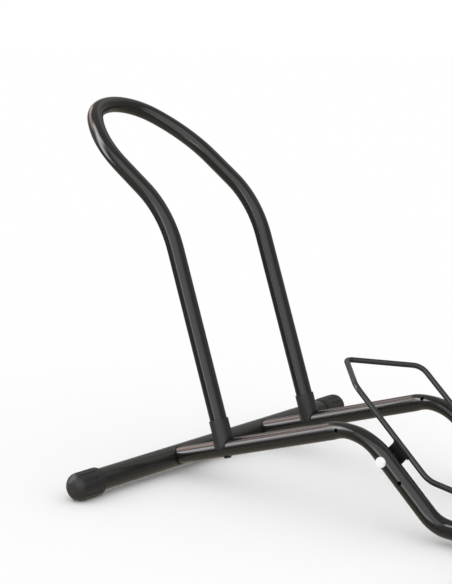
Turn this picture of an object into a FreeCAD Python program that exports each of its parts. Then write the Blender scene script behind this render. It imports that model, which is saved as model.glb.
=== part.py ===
import FreeCAD, Part
import math
import os
import Sketcher
from FreeCAD import Placement, Rotation, Vector

# Floor rack for one bicycle. +Z is up and the rack stands on z = 0. The origin is on the
# floor under the middle of the rack's whole length and width, +X runs along the rails to
# the entry end and Y runs along the cross tubes, with the left side at -Y.

doc = FreeCAD.newDocument("FloorBikeRack")

# ---------------------------------------------------------------- driving sizes
SIZES = [
    # cross tubes and their caps
    ("cross_diameter", 28.6), ("cross_wall", 1.5), ("cross_length", 544.0), ("front_distance", 556.0),
    ("cap_diameter", 35.4), ("cap_length", 45.0), ("cap_floor", 4.0), ("cap_drop", 0.5),
    ("cap_clearance", 0.15), ("cap_edge_radius", 12.0), ("cap_rim_width", 2.2), ("cap_rim_step", 1.3),
    ("cap_sole_depth", 0.4), ("groove_count", 12), ("groove_width", 2.8), ("groove_length", 28.0),
    ("groove_depth", 1.2),
    # rails
    ("rail_diameter", 22.2), ("rail_wall", 1.5), ("rail_spacing", 180.0), ("rise_angle", 18.0),
    ("fall_angle", 42.0), ("knee_distance", 317.0), ("knee_radius", 74.0), ("knee_flattening", 0.17),
    ("knee_widening", 0.05), ("toe_radius", 44.0), ("vent_diameter", 5.0), ("outer_vent_distance", 287.0),
    ("outer_vent_tilt", 5.0), ("inner_vent_distance", 291.0), ("inner_vent_tilt", 27.0),
    ("fall_vent_distance", 83.5), ("fall_vent_tilt", 12.0),
    # hoop, its sleeves and its plugs
    ("hoop_diameter", 22.2), ("hoop_wall", 1.5), ("foot_distance", 94.6), ("leg_angle", 19.5),
    ("leg_length", 314.0), ("bend_radius", 155.0), ("head_angle", 55.5), ("head_length", 99.7),
    ("arch_height", 130.0), ("crown_radius", 72.0), ("sleeve_wall", 1.4), ("sleeve_clearance", 0.2),
    ("sleeve_length", 37.6), ("leg_clearance", 0.4), ("plug_length", 24.0), ("plug_clearance", 0.1),
    # bolts
    ("bolt_diameter", 6.0), ("bolt_clearance", 0.25), ("thread_clearance", 0.05), ("hoop_bolt_length", 42.0),
    ("pivot_bolt_length", 34.0), ("head_diameter", 10.5), ("head_height", 2.4), ("socket_size", 4.0),
    ("socket_depth", 1.4),
    # wheel cradle and its pivots
    ("rod_diameter", 7.0), ("rod_lift", 16.3), ("cradle_overrun", 44.3), ("cradle_run", 142.2),
    ("apex_reach", 66.8), ("apex_lift", 10.3), ("apex_radius", 10.0), ("shoulder_radius", 22.0),
    ("sole_radius", 35.0), ("tail_overhang", 22.0), ("tail_radius", 20.0), ("rest_gap", 0.3),
    ("pivot_distance", 50.7), ("plate_width", 24.6), ("plate_thickness", 3.0), ("pivot_gap", 0.25),
    ("pivot_clearance", 0.08), ("washer_diameter", 13.0), ("washer_thickness", 1.0), ("washer_seat", 0.05),
    ("nut_size", 10.0), ("nut_height", 5.0), ("nut_collar_height", 1.3), ("cover_diameter", 13.0),
    ("cover_height", 4.0), ("cover_wall", 1.2), ("cover_clearance", 0.15),
    # welding
    ("bead_size", 1.4),
]
sheet = doc.addObject("Spreadsheet::Sheet", "Sizes")
for row, (alias, number) in enumerate(SIZES, start=1):
    sheet.set("A%d" % row, alias)
    sheet.set("B%d" % row, "%s" % number)
    sheet.setAlias("B%d" % row, alias)
doc.recompute()


def size(alias):
    """Returns one driving size as a plain number."""
    return float(getattr(sheet, alias))


# ---------------------------------------------------------------- frame of reference
SIDES = (("left", -1.0), ("right", 1.0))
AXIS_HEIGHT = size("cap_diameter") / 2 - size("cap_sole_depth") + size("cap_drop")
RISE = math.radians(size("rise_angle"))
FALL = math.radians(size("fall_angle"))
LEAN = math.radians(size("leg_angle"))
HEAD = math.radians(size("head_angle"))
ALONG_RISE = Vector(math.cos(RISE), 0, math.sin(RISE))
ALONG_FALL = Vector(math.cos(FALL), 0, -math.sin(FALL))
OVER_RISE = Vector(-math.sin(RISE), 0, math.cos(RISE))
OVER_FALL = Vector(math.sin(FALL), 0, math.cos(FALL))
ALONG_LEG = Vector(-math.sin(LEAN), 0, math.cos(LEAN))
ALONG_HEAD = Vector(-math.sin(HEAD), 0, math.cos(HEAD))
CROSSWISE = Vector(0, 1, 0)

# Reach of the hoop behind the rear cross tube and of the front caps before it.
HOOP_BACK = (size("leg_length") * math.sin(LEAN) + (size("head_length") + size("arch_height")) * math.sin(HEAD)
             - size("foot_distance") * math.cos(RISE) + size("hoop_diameter") / 2)
CAPS_FRONT = size("front_distance") + size("cap_diameter") / 2

REAR_AXIS = Vector((HOOP_BACK - CAPS_FRONT) / 2, 0, AXIS_HEIGHT)
FRONT_AXIS = REAR_AXIS + Vector(size("front_distance"), 0, 0)
KNEE = REAR_AXIS + ALONG_RISE * size("knee_distance")
TOE = KNEE + ALONG_FALL * ((KNEE.z - AXIS_HEIGHT) / math.sin(FALL))
FOOT = REAR_AXIS + ALONG_RISE * size("foot_distance")

RAIL_R = size("rail_diameter") / 2
HOOP_R = size("hoop_diameter") / 2
CROSS_R = size("cross_diameter") / 2
ROD_R = size("rod_diameter") / 2
SLEEVE_BORE_R = HOOP_R + size("sleeve_clearance")
SLEEVE_R = SLEEVE_BORE_R + size("sleeve_wall")
HALF_SPACING = size("rail_spacing") / 2
BEAD = size("bead_size")

# Places across the rack at the cradle's pivots, measured from the middle plane.
PIVOT = KNEE + ALONG_FALL * size("pivot_distance")
RAIL_OUTSIDE = HALF_SPACING + RAIL_R
RAIL_INSIDE = HALF_SPACING - RAIL_R
PLATE_MIDDLE = RAIL_INSIDE - size("washer_thickness") - size("pivot_gap") - size("plate_thickness") / 2
NUT_SEAT = PLATE_MIDDLE - size("plate_thickness") / 2 - size("pivot_gap")
CRADLE_SIDE = PLATE_MIDDLE - size("plate_thickness") / 2 - ROD_R
CRADLE_TOP = KNEE + OVER_FALL * size("rod_lift") - ALONG_FALL * size("cradle_overrun")
CRADLE_SOLE = CRADLE_TOP + ALONG_FALL * size("cradle_run")
CRADLE_APEX = CRADLE_TOP + Vector(-size("apex_reach"), 0, size("apex_lift"))


def aside(point, side, distance=HALF_SPACING):
    """Moves a point of the middle plane out to one side."""
    return point + CROSSWISE * (side * distance)


# ---------------------------------------------------------------- solids along lines
def rod(start, direction, length, radius):
    """Round bar from a point along a direction."""
    return Part.makeCylinder(radius, length, start, direction)


def bent_wire(points, radii):
    """Straight runs joined by tangent arcs; radii belong to the inner points."""
    edges = []
    start = points[0]
    for before, corner, after, radius in zip(points[:-2], points[1:-1], points[2:], radii):
        back = (before - corner).normalize()
        ahead = (after - corner).normalize()
        half_turn = (math.pi - back.getAngle(ahead)) / 2
        reach = radius * math.tan(half_turn)
        first = corner + back * reach
        last = corner + ahead * reach
        inward = (back + ahead).normalize()
        middle = corner + inward * (radius / math.cos(half_turn) - radius)
        edges.append(Part.makeLine(start, first))
        edges.append(Part.Arc(first, middle, last).toShape())
        start = last
    edges.append(Part.makeLine(start, points[-1]))
    return Part.Wire(edges)


def swept(wire, radius):
    """Round solid along a wire."""
    first = wire.Edges[0]
    start = first.valueAt(first.FirstParameter)
    direction = first.tangentAt(first.FirstParameter)
    profile = Part.Wire([Part.makeCircle(radius, start, direction)])
    return wire.makePipeShell([profile], True, False)


def add_feature(label, shape):
    """Puts a finished shape in the document as a sub-part of its own."""
    feature = doc.addObject("Part::Feature", label)
    feature.Label = label
    feature.Shape = shape
    feature.Placement = Placement()
    return feature


# ---------------------------------------------------------------- rails
# Share of the full flattening at each station along the knee's arc.
FLATTENING_STATIONS = [(0.0, 0.0), (0.12, 0.5), (0.28, 1.0), (0.5, 1.0), (0.72, 1.0), (0.88, 0.5), (1.0, 0.0)]


def oval(center, tangent, over, radius, share):
    """Cross-section of the rail, pressed flat in the bend's plane and a little wider across it."""
    flat = radius * (1 - size("knee_flattening") * share)
    wide = radius * (1 + size("knee_widening") * share)
    if share > 0:
        curve = Part.Ellipse(Vector(0, 0, 0), wide, flat).toShape()
    else:
        curve = Part.makeCircle(radius)
    turn = Rotation(CROSSWISE, over, tangent, "XYZ")
    curve.Placement = Placement(center, turn)
    return Part.Wire([curve])


def rail_solid(side, radius):
    """Solid of one rail with the given radius: rise, flattened knee, fall, toe bend and level run."""
    rear = aside(REAR_AXIS, side)
    knee = aside(KNEE, side)
    toe = aside(TOE, side)
    front = aside(FRONT_AXIS, side)
    turn = RISE + FALL
    reach = size("knee_radius") * math.tan(turn / 2)
    bend_start = knee - ALONG_RISE * reach
    center = bend_start - OVER_RISE * size("knee_radius")
    sections = []
    for station, share in FLATTENING_STATIONS:
        angle = turn * station
        over = OVER_RISE * math.cos(angle) + ALONG_RISE * math.sin(angle)
        tangent = ALONG_RISE * math.cos(angle) - OVER_RISE * math.sin(angle)
        sections.append(oval(center + over * size("knee_radius"), tangent, over, radius, share))
    knee_solid = Part.makeLoft(sections, True, False)
    bend_end = knee + ALONG_FALL * reach
    rise = rod(rear, ALONG_RISE, (bend_start - rear).Length, radius)
    fall = swept(bent_wire([bend_end, toe, front], [size("toe_radius")]), radius)
    return rise.fuse([knee_solid, fall]).removeSplitter()


def vent(point, side, across, over, tilt_alias):
    """Drill for one vent hole, from the rail's middle out through one wall."""
    tilt = math.radians(size(tilt_alias))
    direction = across * math.cos(tilt) + over * math.sin(tilt)
    return rod(aside(point, side), direction, 1.5 * RAIL_R, size("vent_diameter") / 2)


def rail_shape(side):
    """One rail: a hollow tube coped onto both cross tubes, with its vents and bolt holes."""
    rail = rail_solid(side, RAIL_R).cut(rail_solid(side, RAIL_R - size("rail_wall")))
    reach = size("rail_diameter") * 2
    tools = [
        rod(aside(REAR_AXIS, side, HALF_SPACING - reach), CROSSWISE * side, 2 * reach, CROSS_R),
        rod(aside(FRONT_AXIS, side, HALF_SPACING - reach), CROSSWISE * side, 2 * reach, CROSS_R),
    ]
    outward = CROSSWISE * side
    tools += [
        vent(REAR_AXIS + ALONG_RISE * size("outer_vent_distance"), side, outward, OVER_RISE, "outer_vent_tilt"),
        vent(REAR_AXIS + ALONG_RISE * size("inner_vent_distance"), side, -outward, OVER_RISE, "inner_vent_tilt"),
        vent(KNEE + ALONG_FALL * size("fall_vent_distance"), side, outward, OVER_FALL, "fall_vent_tilt"),
    ]
    hole_r = size("bolt_diameter") / 2 + size("bolt_clearance")
    tools.append(rod(aside(FOOT, side) - ALONG_LEG * reach, ALONG_LEG, 2 * reach, hole_r))
    tools.append(rod(aside(PIVOT, side, HALF_SPACING - reach), outward, 2 * reach, hole_r))
    return rail.cut(tools)


# ---------------------------------------------------------------- hoop
def hoop_wire():
    """Centre line of the hoop: two legs, the backward bends and a three-centred arch."""
    half = HALF_SPACING
    height = size("arch_height")
    crown = size("crown_radius")
    flank = (half ** 2 + (height - crown) ** 2 - crown ** 2) / (2 * (half - crown))
    spread = math.atan2(height - crown, flank - half)
    leg_end = FOOT + ALONG_LEG * (RAIL_R + size("leg_clearance"))
    bend = FOOT + ALONG_LEG * size("leg_length")
    spring = bend + ALONG_HEAD * size("head_length")

    def arch_point(across, up):
        return spring + CROSSWISE * across + ALONG_HEAD * up

    left = bent_wire([aside(leg_end, -1), aside(bend, -1), aside(spring, -1)], [size("bend_radius")])
    right = bent_wire([aside(spring, 1), aside(bend, 1), aside(leg_end, 1)], [size("bend_radius")])
    shoulder = (half - flank * (1 - math.cos(spread)), flank * math.sin(spread))
    mid_flank = (half - flank * (1 - math.cos(spread / 2)), flank * math.sin(spread / 2))
    arcs = [
        Part.Arc(arch_point(-half, 0), arch_point(-mid_flank[0], mid_flank[1]),
                 arch_point(-shoulder[0], shoulder[1])).toShape(),
        Part.Arc(arch_point(-shoulder[0], shoulder[1]), arch_point(0, height),
                 arch_point(shoulder[0], shoulder[1])).toShape(),
        Part.Arc(arch_point(shoulder[0], shoulder[1]), arch_point(mid_flank[0], mid_flank[1]),
                 arch_point(half, 0)).toShape(),
    ]
    return Part.Wire(left.Edges + arcs + right.Edges)


def hoop_shape():
    """The hoop as one hollow bent tube."""
    wire = hoop_wire()
    return swept(wire, HOOP_R).cut(swept(wire, HOOP_R - size("hoop_wall")))


# ---------------------------------------------------------------- wheel cradle
def tail_run():
    """Direction of the rod's last run, which lies on the front cross tube, and its length to there."""
    to_axis = FRONT_AXIS - CRADLE_SOLE
    seat = CROSS_R + ROD_R + size("rest_gap")
    dip = math.atan2(-to_axis.z, to_axis.x) - math.asin(seat / to_axis.Length)
    length = math.sqrt(to_axis.Length ** 2 - seat ** 2)
    return Vector(math.cos(dip), 0, -math.sin(dip)), length


TAIL_DIRECTION, TAIL_LENGTH = tail_run()


def half_cradle(side):
    """Half of the cradle's rod, from the middle of its end bar to the point over the middle plane."""
    end = CRADLE_SOLE + TAIL_DIRECTION * (TAIL_LENGTH + size("tail_overhang"))
    corners = [aside(point, side, CRADLE_SIDE) for point in (end, CRADLE_SOLE, CRADLE_TOP)]
    # The point's bend ends on the middle plane, half way round.
    away = (aside(CRADLE_TOP, side, CRADLE_SIDE) - CRADLE_APEX).normalize()
    inward = Vector(away.x, 0, away.z).normalize()
    half_angle = away.getAngle(inward)
    bend = size("apex_radius")
    tangent = CRADLE_APEX + away * (bend / math.tan(half_angle))
    crown = CRADLE_APEX + inward * (bend / math.sin(half_angle) - bend)
    center = CRADLE_APEX + inward * (bend / math.sin(half_angle))
    middle = center + ((tangent - center) + (crown - center)).normalize() * bend
    radii = [size("tail_radius"), size("sole_radius"), size("shoulder_radius")]
    wire = bent_wire([end] + corners + [tangent], radii)
    return swept(Part.Wire(wire.Edges + [Part.Arc(tangent, middle, crown).toShape()]), ROD_R)


def cradle_shape():
    """The wheel cradle: one rod bent to a loop, pointed at one end and square at the other."""
    return half_cradle(-1).fuse(half_cradle(1)).removeSplitter()


def plate_box(side, grow=0.0):
    """Straight part of a pivot plate, from the pivot up to the rod's middle, grown by an amount."""
    across = size("plate_width") + 2 * grow
    thick = size("plate_thickness") + 2 * grow
    bar = Part.makeBox(across, thick, size("rod_lift") + grow, Vector(-across / 2, -thick / 2, 0))
    center = aside(PIVOT, side, PLATE_MIDDLE)
    bar.Placement = Placement(center, Rotation(ALONG_FALL, CROSSWISE, OVER_FALL, "XYZ"))
    return bar


def fall_rod(side, radius):
    """Straight stretch of the cradle's rod beside the plate."""
    start = PIVOT + OVER_FALL * size("rod_lift") - ALONG_FALL * size("plate_width")
    return rod(aside(start, side, CRADLE_SIDE), ALONG_FALL, 2 * size("plate_width"), radius)


# ---------------------------------------------------------------- weld beads
def bead(first, second, first_grown, second_grown):
    """Bead that fills the corner between two surfaces."""
    return first_grown.common(second_grown).cut([first, second])


def rail_bead(side, axis, direction):
    """Bead round the coped end of a rail on a cross tube."""
    start = aside(axis, side)
    span = 3 * RAIL_R
    across = aside(axis, side, HALF_SPACING - span)
    return bead(
        rod(start, direction, span, RAIL_R), rod(across, CROSSWISE * side, 2 * span, CROSS_R),
        rod(start, direction, span, RAIL_R + BEAD), rod(across, CROSSWISE * side, 2 * span, CROSS_R + BEAD))


def sleeve_bead(side):
    """Bead in front of and behind the sleeve, on the rail's crown."""
    foot = aside(FOOT, side)
    start = foot - ALONG_RISE * 2 * SLEEVE_R
    return bead(
        rod(foot, ALONG_LEG, 3 * RAIL_R, SLEEVE_R), rod(start, ALONG_RISE, 4 * SLEEVE_R, RAIL_R),
        rod(foot, ALONG_LEG, 3 * RAIL_R, SLEEVE_R + BEAD), rod(start, ALONG_RISE, 4 * SLEEVE_R, RAIL_R + BEAD))


def plate_bead(side):
    """Beads along the joint of a pivot plate and the cradle's rod."""
    shape = bead(plate_box(side), fall_rod(side, ROD_R), plate_box(side, BEAD), fall_rod(side, ROD_R + BEAD))
    return Part.makeCompound(shape.Solids)


# ---------------------------------------------------------------- part design helpers
def new_body(label):
    body = doc.addObject("PartDesign::Body", label)
    body.Label = label
    return body


def origin_plane(body, role):
    """The body's own origin plane with the given role."""
    return [item for item in body.Origin.OriginFeatures if item.Role == role][0]


def new_sketch(body, name, role, lift=None):
    sketch = body.newObject("Sketcher::SketchObject", name)
    sketch.AttachmentSupport = [(origin_plane(body, role), "")]
    sketch.MapMode = "FlatFace"
    if lift:
        sketch.setExpression("AttachmentOffset.Base.z", lift)
    return sketch


def add_circle(sketch, diameter_expression, center_x=None):
    """Circle on the sketch's X axis, sized and placed by expressions."""
    index = sketch.addGeometry(Part.Circle(Vector(3 if center_x else 0, 0, 0), Vector(0, 0, 1), 5), False)
    if center_x:
        sketch.addConstraint(Sketcher.Constraint("PointOnObject", index, 3, -1))
        place = sketch.addConstraint(Sketcher.Constraint("DistanceX", -1, 1, index, 3, 3))
        sketch.setExpression("Constraints[%d]" % place, center_x)
    else:
        sketch.addConstraint(Sketcher.Constraint("Coincident", index, 3, -1, 1))
    width = sketch.addConstraint(Sketcher.Constraint("Diameter", index, 10))
    sketch.setExpression("Constraints[%d]" % width, diameter_expression)
    return index


def add_outline(sketch, corners):
    """Closed outline; each corner is a pair of (rough value, expression or None for zero)."""
    count = len(corners)
    points = [Vector(c[0][0], c[1][0], 0) for c in corners]
    for index in range(count):
        sketch.addGeometry(Part.LineSegment(points[index], points[(index + 1) % count]), False)
    for index in range(count):
        sketch.addConstraint(Sketcher.Constraint("Coincident", index, 2, (index + 1) % count, 1))
    for index, (across, up) in enumerate(corners):
        if across[1] is None:
            sketch.addConstraint(Sketcher.Constraint("PointOnObject", index, 1, -2))
        else:
            item = sketch.addConstraint(Sketcher.Constraint("DistanceX", -1, 1, index, 1, across[0]))
            sketch.setExpression("Constraints[%d]" % item, across[1])
        if up[1] is None:
            sketch.addConstraint(Sketcher.Constraint("PointOnObject", index, 1, -1))
        else:
            item = sketch.addConstraint(Sketcher.Constraint("DistanceY", -1, 1, index, 1, up[0]))
            sketch.setExpression("Constraints[%d]" % item, up[1])


def revolve_outline(body, name, corners):
    """Turns an outline on the XZ plane once round the body's Z axis."""
    sketch = new_sketch(body, name + "_outline", "XZ_Plane")
    add_outline(sketch, corners)
    feature = body.newObject("PartDesign::Revolution", name)
    feature.Profile = sketch
    feature.ReferenceAxis = (sketch, ["V_Axis"])
    feature.Angle = 360
    doc.recompute()
    return feature


def place_along(item, origin, direction):
    """Stands an object's Z axis at a point along a direction."""
    item.Placement = Placement(origin, Rotation(Vector(0, 0, 1), direction))


# ---------------------------------------------------------------- cross tubes
def build_cross_tube(label, axis):
    body = new_body(label)
    sketch = new_sketch(body, label + "_section", "XZ_Plane")
    add_circle(sketch, "Sizes.cross_diameter")
    add_circle(sketch, "Sizes.cross_diameter - 2 * Sizes.cross_wall")
    tube = body.newObject("PartDesign::Pad", label + "_tube")
    tube.Profile = sketch
    tube.Midplane = True
    tube.setExpression("Length", "Sizes.cross_length")
    body.Placement = Placement(axis, Rotation())
    doc.recompute()
    return body


# ---------------------------------------------------------------- end caps
def build_cap(label, side, axis):
    """Grooved moulded cap, open end at the body's z = 0 and closed end at z = cap_length.

    The tube sits above the cap's own axis, so the wall is thickest at the flat sole.
    """
    outside = "Sizes.cap_diameter / 2"
    body = new_body(label)
    revolved = revolve_outline(body, label + "_block", [
        ((0, None), (0, None)),
        ((16.4, outside + " - Sizes.cap_rim_step"), (0, None)),
        ((17.7, outside), (2.2, "Sizes.cap_rim_width")),
        ((17.7, outside), (45, "Sizes.cap_length")),
        ((0, None), (45, "Sizes.cap_length")),
    ])
    top = size("cap_length")
    edges = ["Edge%d" % (i + 1) for i, e in enumerate(revolved.Shape.Edges)
             if len(e.Vertexes) == 1 and abs(e.BoundBox.ZMin - top) < 1e-6 and e.BoundBox.XMax > CROSS_R]
    dome = body.newObject("PartDesign::Fillet", label + "_dome")
    dome.Base = (revolved, edges)
    dome.setExpression("Radius", "Sizes.cap_edge_radius")
    doc.recompute()

    sketch = new_sketch(body, label + "_groove_outline", "XY_Plane")
    half = "Sizes.groove_width / 2"
    floor = "Sizes.cap_diameter / 2 - Sizes.groove_depth"
    add_outline(sketch, [((-1.3, "-" + half), (16.4, floor)), ((1.3, half), (16.4, floor)),
                         ((1.3, half), (19, "Sizes.cap_diameter / 2 + Sizes.groove_width")),
                         ((-1.3, "-" + half), (19, "Sizes.cap_diameter / 2 + Sizes.groove_width"))])
    groove = body.newObject("PartDesign::Pocket", label + "_groove")
    groove.Profile = sketch
    groove.Reversed = True
    groove.setExpression("Length", "Sizes.groove_length")
    ribs = body.newObject("PartDesign::PolarPattern", label + "_grooves")
    ribs.Originals = [groove]
    ribs.Axis = (sketch, ["N_Axis"])
    ribs.Angle = 360
    ribs.setExpression("Occurrences", "Sizes.groove_count")
    body.Tip = ribs
    doc.recompute()

    sketch = new_sketch(body, label + "_bore_outline", "XY_Plane")
    add_circle(sketch, "Sizes.cross_diameter + 2 * Sizes.cap_clearance", "Sizes.cap_drop")
    bore = body.newObject("PartDesign::Pocket", label + "_bore")
    bore.Profile = sketch
    bore.Reversed = True
    bore.setExpression("Length", "Sizes.cap_length - Sizes.cap_floor")
    doc.recompute()

    sketch = new_sketch(body, label + "_sole_outline", "XY_Plane")
    near = "-(Sizes.cap_diameter / 2 - Sizes.cap_sole_depth)"
    far = "-Sizes.cap_diameter"
    add_outline(sketch, [((-17.3, near), (-17.7, "-" + outside)), ((-17.3, near), (17.7, outside)),
                         ((-35, far), (17.7, outside)), ((-35, far), (-17.7, "-" + outside))])
    sole = body.newObject("PartDesign::Pocket", label + "_sole")
    sole.Profile = sketch
    sole.Reversed = True
    sole.setExpression("Length", "Sizes.cap_length")
    body.Tip = sole
    doc.recompute()
    assert sole.Shape.Volume < bore.Shape.Volume < ribs.Shape.Volume < dome.Shape.Volume

    # The body's X axis points up, so the sole lies on the floor.
    outward = CROSSWISE * side
    upward = Vector(0, 0, 1)
    start = size("cross_length") / 2 + size("cap_floor") - size("cap_length")
    body.Placement = Placement(aside(axis, side, start) - upward * size("cap_drop"),
                               Rotation(upward, outward.cross(upward), outward, "ZXY"))
    doc.recompute()
    return body


# ---------------------------------------------------------------- sleeves, plugs and bolts
def build_sleeve(label, side):
    """Short socket for a hoop leg, saddle-cut to sit on the rail."""
    outer = doc.addObject("Part::Cylinder", label + "_outer")
    outer.setExpression("Radius", "Sizes.hoop_diameter / 2 + Sizes.sleeve_clearance + Sizes.sleeve_wall")
    outer.setExpression("Height", "Sizes.sleeve_length")
    bore = doc.addObject("Part::Cylinder", label + "_bore")
    bore.setExpression("Radius", "Sizes.hoop_diameter / 2 + Sizes.sleeve_clearance")
    bore.setExpression("Height", "Sizes.sleeve_length")
    saddle = doc.addObject("Part::Cylinder", label + "_saddle")
    saddle.setExpression("Radius", "Sizes.rail_diameter / 2")
    saddle.setExpression("Height", "6 * Sizes.rail_diameter")
    foot = aside(FOOT, side)
    place_along(outer, foot, ALONG_LEG)
    place_along(bore, foot, ALONG_LEG)
    place_along(saddle, foot - ALONG_RISE * 3 * size("rail_diameter"), ALONG_RISE)
    tools = doc.addObject("Part::MultiFuse", label + "_tools")
    tools.Shapes = [bore, saddle]
    sleeve = doc.addObject("Part::Cut", label)
    sleeve.Base = outer
    sleeve.Tool = tools
    sleeve.Label = label
    doc.recompute()
    return sleeve


def build_plug(label, side):
    """Threaded plug fixed in the foot of a hoop leg."""
    body = new_body(label)
    sketch = new_sketch(body, label + "_section", "XY_Plane")
    add_circle(sketch, "Sizes.hoop_diameter - 2 * Sizes.hoop_wall - 2 * Sizes.plug_clearance")
    add_circle(sketch, "Sizes.bolt_diameter + 2 * Sizes.thread_clearance")
    plug = body.newObject("PartDesign::Pad", label + "_block")
    plug.Profile = sketch
    plug.setExpression("Length", "Sizes.plug_length")
    place_along(body, aside(FOOT + ALONG_LEG * (RAIL_R + size("leg_clearance")), side), ALONG_LEG)
    doc.recompute()
    return body


def add_hexagon(sketch, radius_expression, rough):
    """Regular hexagon inside a circle of the given radius."""
    corners = [Rotation(Vector(0, 0, 1), 60.0 * index).multVec(Vector(rough, 0, 0)) for index in range(6)]
    for index in range(6):
        sketch.addGeometry(Part.LineSegment(corners[index], corners[(index + 1) % 6]), False)
    ring = sketch.addGeometry(Part.Circle(Vector(0, 0, 0), Vector(0, 0, 1), rough), True)
    sketch.addConstraint(Sketcher.Constraint("Coincident", ring, 3, -1, 1))
    for index in range(6):
        sketch.addConstraint(Sketcher.Constraint("Coincident", index, 2, (index + 1) % 6, 1))
        sketch.addConstraint(Sketcher.Constraint("PointOnObject", index, 1, ring))
        if index:
            sketch.addConstraint(Sketcher.Constraint("Equal", 0, index))
    sketch.addConstraint(Sketcher.Constraint("PointOnObject", 0, 1, -1))
    width = sketch.addConstraint(Sketcher.Constraint("Radius", ring, rough))
    sketch.setExpression("Constraints[%d]" % width, radius_expression)


def build_bolt(label, length_alias, seat, direction):
    """Button-head bolt with a hexagon socket; its head's underside lies on the seat."""
    head = "Sizes.head_diameter / 2"
    body = new_body(label)
    revolved = revolve_outline(body, label + "_turned", [
        ((0, None), (-3.3, "-Sizes.head_height")),
        ((3.2, head + " * 0.62"), (-3.3, "-Sizes.head_height")),
        ((4.6, head + " * 0.88"), (-2.3, "-Sizes.head_height * 0.7")),
        ((5.25, head), (-1, "-Sizes.head_height * 0.3")),
        ((5.25, head), (0, None)),
        ((3, "Sizes.bolt_diameter / 2"), (0, None)),
        ((3, "Sizes.bolt_diameter / 2"), (size(length_alias), "Sizes." + length_alias)),
        ((0, None), (size(length_alias), "Sizes." + length_alias)),
    ])
    sketch = new_sketch(body, label + "_socket_outline", "XY_Plane", "-Sizes.head_height")
    add_hexagon(sketch, "Sizes.socket_size / sqrt(3)", size("socket_size") / math.sqrt(3))
    socket = body.newObject("PartDesign::Pocket", label + "_socket")
    socket.Profile = sketch
    socket.Reversed = True
    socket.setExpression("Length", "Sizes.socket_depth")
    body.Tip = socket
    place_along(body, seat, direction)
    doc.recompute()
    assert body.Shape.Volume < revolved.Shape.Volume
    return body


# ---------------------------------------------------------------- pivots
def build_plate(label, side):
    """Pivot plate: a flat bar with a round end about the bolt, welded to the cradle's rod."""
    body = new_body(label)
    sketch = new_sketch(body, label + "_outline", "XZ_Plane")
    half = size("plate_width") / 2
    lift = size("rod_lift")
    corners = [Vector(-half, 0, 0), Vector(-half, lift, 0), Vector(half, lift, 0), Vector(half, 0, 0)]
    for start, end in zip(corners[:-1], corners[1:]):
        sketch.addGeometry(Part.LineSegment(start, end), False)
    lower = sketch.addGeometry(
        Part.ArcOfCircle(Part.Circle(Vector(0, 0, 0), Vector(0, 0, 1), half), math.pi, 2 * math.pi), False)
    for first, first_end, second, second_end in ((0, 2, 1, 1), (1, 2, 2, 1), (2, 2, lower, 2), (lower, 1, 0, 1)):
        sketch.addConstraint(Sketcher.Constraint("Coincident", first, first_end, second, second_end))
    sketch.addConstraint(Sketcher.Constraint("Coincident", lower, 3, -1, 1))
    sketch.addConstraint(Sketcher.Constraint("PointOnObject", lower, 1, -1))
    sketch.addConstraint(Sketcher.Constraint("PointOnObject", lower, 2, -1))
    sketch.addConstraint(Sketcher.Constraint("Vertical", 0))
    sketch.addConstraint(Sketcher.Constraint("Vertical", 2))
    sketch.addConstraint(Sketcher.Constraint("Horizontal", 1))
    round_end = sketch.addConstraint(Sketcher.Constraint("Radius", lower, half))
    sketch.setExpression("Constraints[%d]" % round_end, "Sizes.plate_width / 2")
    height = sketch.addConstraint(Sketcher.Constraint("DistanceY", -1, 1, 1, 1, lift))
    sketch.setExpression("Constraints[%d]" % height, "Sizes.rod_lift")
    add_circle(sketch, "Sizes.bolt_diameter + 2 * Sizes.pivot_clearance")
    plate = body.newObject("PartDesign::Pad", label + "_blank")
    plate.Profile = sketch
    plate.Midplane = True
    plate.setExpression("Length", "Sizes.plate_thickness")
    body.Placement = Placement(aside(PIVOT, side, PLATE_MIDDLE),
                               Rotation(ALONG_FALL, CROSSWISE, OVER_FALL, "XYZ"))
    doc.recompute()
    return body


def build_washer(label, side):
    """Plain washer between the rail and the pivot plate."""
    body = new_body(label)
    sketch = new_sketch(body, label + "_section", "XY_Plane")
    add_circle(sketch, "Sizes.washer_diameter")
    add_circle(sketch, "Sizes.bolt_diameter + 2 * Sizes.bolt_clearance")
    washer = body.newObject("PartDesign::Pad", label + "_ring")
    washer.Profile = sketch
    washer.setExpression("Length", "Sizes.washer_thickness - Sizes.washer_seat")
    place_along(body, aside(PIVOT, side, RAIL_INSIDE - size("washer_seat")), CROSSWISE * -side)
    doc.recompute()
    return body


def build_nut(label, side):
    """Lock nut with its round collar, on the inner side of the pivot plate."""
    body = new_body(label)
    sketch = new_sketch(body, label + "_hexagon", "XY_Plane")
    add_hexagon(sketch, "Sizes.nut_size / sqrt(3)", size("nut_size") / math.sqrt(3))
    nut = body.newObject("PartDesign::Pad", label + "_block")
    nut.Profile = sketch
    nut.setExpression("Length", "Sizes.nut_height")
    sketch = new_sketch(body, label + "_collar_section", "XY_Plane")
    add_circle(sketch, "Sizes.nut_size * 0.9")
    collar = body.newObject("PartDesign::Pad", label + "_collar")
    collar.Profile = sketch
    collar.setExpression("Length", "Sizes.nut_height + Sizes.nut_collar_height")
    sketch = new_sketch(body, label + "_thread_section", "XY_Plane")
    add_circle(sketch, "Sizes.bolt_diameter + 2 * Sizes.thread_clearance")
    thread = body.newObject("PartDesign::Pocket", label + "_thread")
    thread.Profile = sketch
    thread.Reversed = True
    thread.setExpression("Length", "Sizes.nut_height + Sizes.nut_collar_height")
    place_along(body, aside(PIVOT, side, NUT_SEAT), CROSSWISE * -side)
    doc.recompute()
    assert thread.Shape.Volume < collar.Shape.Volume
    return body


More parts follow.
